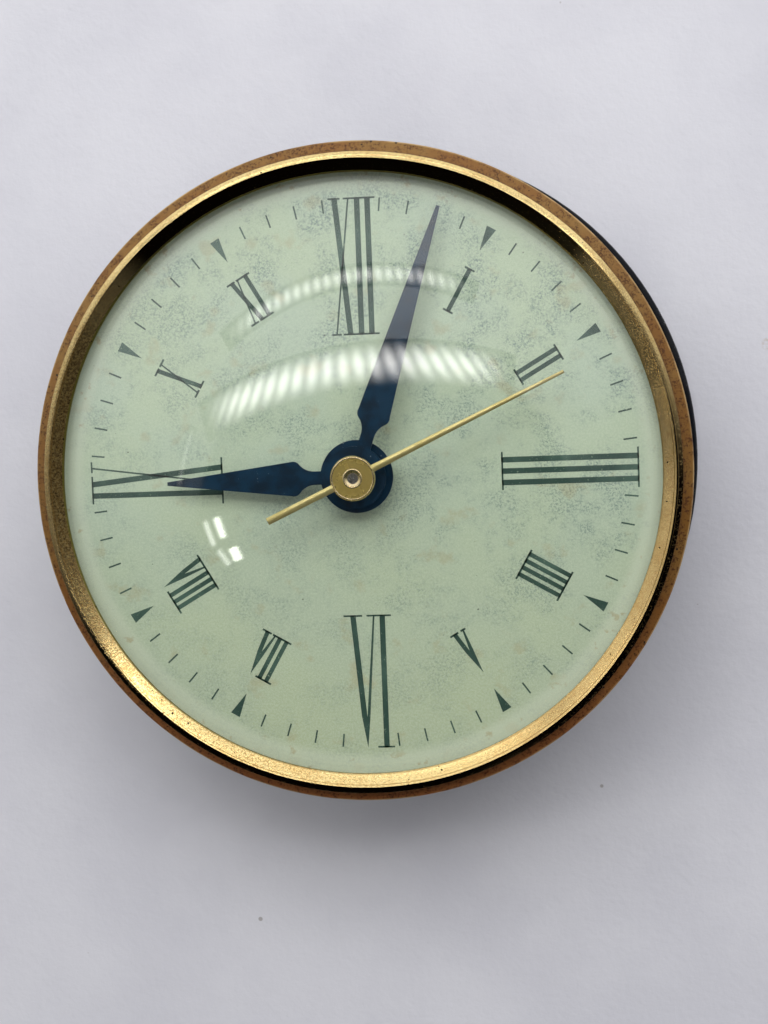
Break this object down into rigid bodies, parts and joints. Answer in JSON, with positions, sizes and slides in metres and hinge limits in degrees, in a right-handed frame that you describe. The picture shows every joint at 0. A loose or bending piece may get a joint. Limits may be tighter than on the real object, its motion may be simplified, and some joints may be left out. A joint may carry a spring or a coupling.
{
  "type": "mantel clock",
  "caption": "Round electric clock insert: brass bezel, convex glass, Roman dial, sweep seconds hand and geared synchronous movement in a black drum case with a rear setting knob.",
  "frame": {"origin": "centre of the case's rear rim, in the plane that the clock lies on", "axes": "+Z along the hands' axis, out of the dial; +Y to twelve o'clock; +X to three o'clock"},
  "size_m": [0.113, 0.113, 0.0548],
  "materials": {
    "bezel_brass": "spun brass, lacquer mostly gone, polished on the bead and brown in the cove",
    "flange_brass": "spun brass, dull brown tarnish",
    "dial_glass": "clear convex glass",
    "gasket_card": "black packing",
    "dial_enamel": "pale green dial paint, aged and mottled",
    "case_enamel": "black gloss stoving enamel",
    "steel_parts": "turned steel",
    "inlet_rubber": "moulded rubber",
    "frame_brass": "rolled brass plate",
    "turned_brass": "turned brass",
    "core_steel": "stacked silicon steel laminations",
    "shading_copper": null,
    "bobbin_fibre": "pressed fibre",
    "coil_wrap": null,
    "capsule_metal": "sealed copper-plated can",
    "pinion_steel": "cut and polished steel",
    "hand_blue": "blue-black paint on pressed sheet",
    "seconds_brass": "pressed brass, dull gilt",
    "knob_phenolic": "moulded black phenolic"
  },
  "bodies": {
    "case": {"bezel": "bezel_brass", "flange_ring": "flange_brass", "glass": "dial_glass", "glass_gasket": "gasket_card", "dial": "dial_enamel", "case_drum": "case_enamel", "rear_cover": "case_enamel", "cover_posts": "turned_brass", "cover_screws": "steel_parts", "cord_grommet": "inlet_rubber", "case_studs": "steel_parts", "plate_spacers": "turned_brass", "plate_nuts": "turned_brass", "front_plate": "frame_brass", "rear_plate": "frame_brass", "minute_stud": "steel_parts", "centre_front_bush": "turned_brass", "centre_rear_bush": "turned_brass", "third_front_bush": "turned_brass", "third_rear_bush": "turned_brass", "set_front_bush": "turned_brass", "set_rear_bush": "turned_brass", "field_core": "core_steel", "shading_rings": "shading_copper", "coil_bobbin": "bobbin_fibre", "coil_winding": "coil_wrap", "coil_terminals": "turned_brass", "rotor_capsule": "capsule_metal", "core_spacers": "turned_brass", "core_screws": "steel_parts"},
    "seconds_work": {"seconds_arbor": "pinion_steel", "seconds_wheel": "frame_brass", "seconds_pinion": "pinion_steel", "seconds_hand": "seconds_brass"},
    "rotor_output": {"rotor_shaft": "pinion_steel", "rotor_pinion": "pinion_steel"},
    "third_work": {"third_arbor": "pinion_steel", "third_wheel": "frame_brass", "third_pinion": "pinion_steel"},
    "centre_drive": {"centre_wheel": "frame_brass"},
    "minute_work": {"minute_tube": "turned_brass", "clutch_spring": "frame_brass", "clutch_collar": "turned_brass", "cannon_pinion": "turned_brass", "minute_collet": "turned_brass", "minute_hand": "hand_blue"},
    "minute_gear": {"minute_wheel": "frame_brass", "minute_pinion": "pinion_steel"},
    "hour_work": {"hour_pipe": "turned_brass", "hour_wheel": "frame_brass", "hour_collet": "turned_brass", "hour_hand": "hand_blue"},
    "hand_setter": {"set_shaft": "steel_parts", "set_pinion": "turned_brass", "set_knob": "knob_phenolic"}
  },
  "joints": [
    {"name": "seconds_spin", "type": "hinge", "parent": "case", "child": "seconds_work", "pos_m": [0, 0, 0.03], "axis": [0, 0, 1], "continuous": true},
    {"name": "rotor_spin", "type": "hinge", "parent": "case", "child": "rotor_output", "pos_m": [0, 0.0161, 0.03], "axis": [0, 0, 1], "continuous": true},
    {"name": "third_spin", "type": "hinge", "parent": "case", "child": "third_work", "pos_m": [0.01472, -0.0085, 0.03], "axis": [0, 0, 1], "continuous": true},
    {"name": "centre_spin", "type": "hinge", "parent": "case", "child": "centre_drive", "pos_m": [0, 0, 0.03], "axis": [0, 0, 1], "continuous": true},
    {"name": "minute_spin", "type": "hinge", "parent": "case", "child": "minute_work", "pos_m": [0, 0, 0.03], "axis": [0, 0, 1], "continuous": true},
    {"name": "minute_gear_spin", "type": "hinge", "parent": "case", "child": "minute_gear", "pos_m": [-0.00849, -0.00849, 0.03], "axis": [0, 0, 1], "continuous": true},
    {"name": "hour_spin", "type": "hinge", "parent": "case", "child": "hour_work", "pos_m": [0, 0, 0.03], "axis": [0, 0, 1], "continuous": true},
    {"name": "setter_spin", "type": "hinge", "parent": "case", "child": "hand_setter", "pos_m": [-0.01697, -0.01697, 0.03], "axis": [0, 0, 1], "continuous": true}
  ],
  "couplings": [
    {"joint": "rotor_spin", "follows": "seconds_spin", "ratio": -3.6},
    {"joint": "third_spin", "follows": "seconds_spin", "ratio": -0.13333},
    {"joint": "centre_spin", "follows": "seconds_spin", "ratio": 0.016667},
    {"joint": "minute_gear_spin", "follows": "minute_spin", "ratio": -0.33333},
    {"joint": "hour_spin", "follows": "minute_spin", "ratio": 0.083333},
    {"joint": "setter_spin", "follows": "minute_spin", "ratio": 1}
  ]
}
